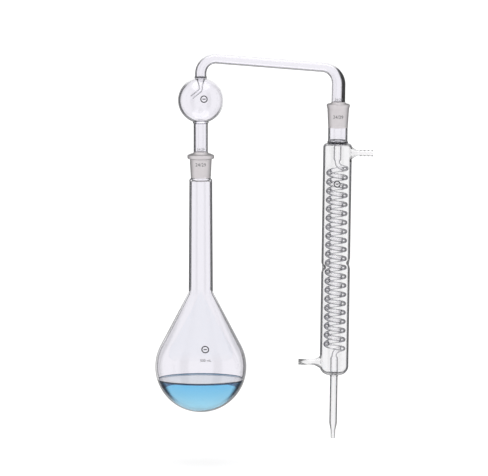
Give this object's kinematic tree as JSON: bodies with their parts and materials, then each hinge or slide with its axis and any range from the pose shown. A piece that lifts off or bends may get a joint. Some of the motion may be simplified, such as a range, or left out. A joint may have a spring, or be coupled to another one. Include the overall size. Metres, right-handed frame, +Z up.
{
  "type": "glass distillation apparatus",
  "caption": "Long-necked round-bottom flask with a splash head, a sloping delivery tube and a hanging coil condenser, joined by ground glass joints.",
  "frame": {"origin": "on the flask's axis, in the middle of the neck where a stand's clamp grips it, 230 mm above the flask's lowest point", "axes": "+X towards the condenser, +Z up along the flask's neck, +Y away from the front, the side that carries the marks"},
  "size_m": [0.2661, 0.1116, 0.4714],
  "materials": {
    "clear_glass": "polished",
    "ground_glass": "frosted",
    "blue_liquid": "wet"
  },
  "bodies": {
    "flask": {"flask_bulb": "clear_glass", "flask_neck": "clear_glass", "flask_socket": "ground_glass", "flask_liquid": "blue_liquid"},
    "head": {"head_cone": "ground_glass", "head_stem": "clear_glass", "splash_bulb": "clear_glass", "head_ring_seal": "clear_glass", "splash_tube": "clear_glass", "delivery_tube": "clear_glass", "delivery_leg": "clear_glass", "delivery_cone": "ground_glass"},
    "condenser": {"condenser_socket": "ground_glass", "condenser_neck": "clear_glass", "top_ring_seal": "clear_glass", "condenser_jacket": "clear_glass", "water_outlet": "clear_glass", "water_inlet": "clear_glass", "coil_entry_tube": "clear_glass", "cooling_coil": "clear_glass", "coil_exit_tube": "clear_glass", "bottom_ring_seal": "clear_glass", "drip_tube": "clear_glass", "drip_tip": "clear_glass"}
  },
  "joints": [
    {"name": "head_lift", "type": "slide", "parent": "flask", "child": "head", "axis": [0, 0, 1], "range_m": [0, 0.045]},
    {"name": "condenser_turn", "type": "hinge", "parent": "head", "child": "condenser", "pos_m": [0.1676, 0, 0.1482], "axis": [0.0154, 0, 0.9999], "continuous": true}
  ]
}
